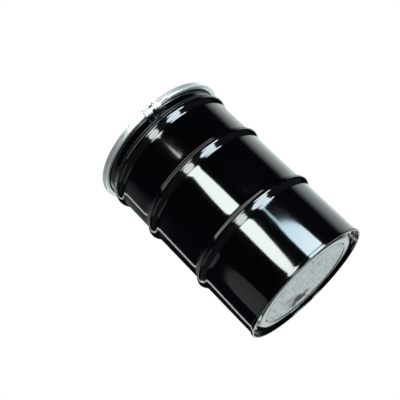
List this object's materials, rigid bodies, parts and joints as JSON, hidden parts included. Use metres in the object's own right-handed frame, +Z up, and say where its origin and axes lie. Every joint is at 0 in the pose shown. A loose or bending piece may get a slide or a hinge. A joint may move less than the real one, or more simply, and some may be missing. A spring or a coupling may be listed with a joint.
{
  "type": "steel oil drum",
  "caption": "Open-head steel drum with rolling hoops, a lid held by a bolted split ring, and threaded bung plugs in the lid.",
  "frame": {"origin": "centre of the circle that the bottom chime stands on", "axes": "+Z up along the drum's axis; the closing ring's split and bolt are towards +X -Y, the large bung towards -X +Y"},
  "size_m": [0.614, 0.614, 0.8895],
  "materials": {
    "black_enamel": "gloss",
    "bare_steel": "satin",
    "zinc_plate": "satin",
    "dark_rubber": "matte",
    "seam_compound": "matte"
  },
  "bodies": {
    "drum": {"body_shell": "black_enamel", "bottom_head": "bare_steel", "bottom_seam_compound": "seam_compound"},
    "lid": {"cover": "black_enamel", "cover_gasket": "dark_rubber", "large_bung_flange": "zinc_plate", "large_flange_gasket": "dark_rubber", "small_bung_flange": "zinc_plate", "small_flange_gasket": "dark_rubber"},
    "ring": {"closing_ring": "zinc_plate", "plain_lug": "zinc_plate", "threaded_lug": "zinc_plate"},
    "lock_nut": {"lock_nut": "zinc_plate"},
    "bolt": {"ring_bolt": "zinc_plate"},
    "large_plug_seal": {"large_plug_gasket": "dark_rubber"},
    "large_plug": {"large_bung_plug": "zinc_plate"},
    "small_plug_seal": {"small_plug_gasket": "dark_rubber"},
    "small_plug": {"small_bung_plug": "zinc_plate"}
  },
  "joints": [
    {"name": "lid_lift", "type": "slide", "parent": "drum", "child": "lid", "axis": [0, 0, 1], "range_m": [0, 0.3], "deforming": ["closing_ring"]},
    {"name": "ring_lift", "type": "slide", "parent": "lid", "child": "ring", "axis": [0, 0, 1], "range_m": [0, 0.3], "deforming": ["closing_ring"]},
    {"name": "nut_travel", "type": "slide", "parent": "ring", "child": "lock_nut", "axis": [-0.7071, -0.7071, 0], "range_m": [0, 0.01154]},
    {"name": "bolt_turn", "type": "hinge", "parent": "lock_nut", "child": "bolt", "pos_m": [0.22486, -0.22486, 0.861], "axis": [-0.7071, -0.7071, 0], "range_deg": [0, 1800]},
    {"name": "large_seal_travel", "type": "slide", "parent": "lid", "child": "large_plug_seal", "axis": [0, 0, 1], "range_m": [0, 0.0134]},
    {"name": "large_plug_turn", "type": "hinge", "parent": "large_plug_seal", "child": "large_plug", "pos_m": [-0.14496, 0.14496, 0.87], "axis": [0, 0, 1], "range_deg": [0, 2160]},
    {"name": "small_seal_travel", "type": "slide", "parent": "lid", "child": "small_plug_seal", "axis": [0, 0, 1], "range_m": [0, 0.0111]},
    {"name": "small_plug_turn", "type": "hinge", "parent": "small_plug_seal", "child": "small_plug", "pos_m": [0.14496, -0.14496, 0.87], "axis": [0, 0, 1], "range_deg": [0, 2160]}
  ],
  "couplings": [
    {"joint": "bolt_turn", "follows": "nut_travel", "rad_per_m": 2721.1},
    {"joint": "large_seal_travel", "follows": "large_plug_turn", "m_per_rad": 0.00035153},
    {"joint": "small_seal_travel", "follows": "small_plug_turn", "m_per_rad": 0.00028875}
  ]
}
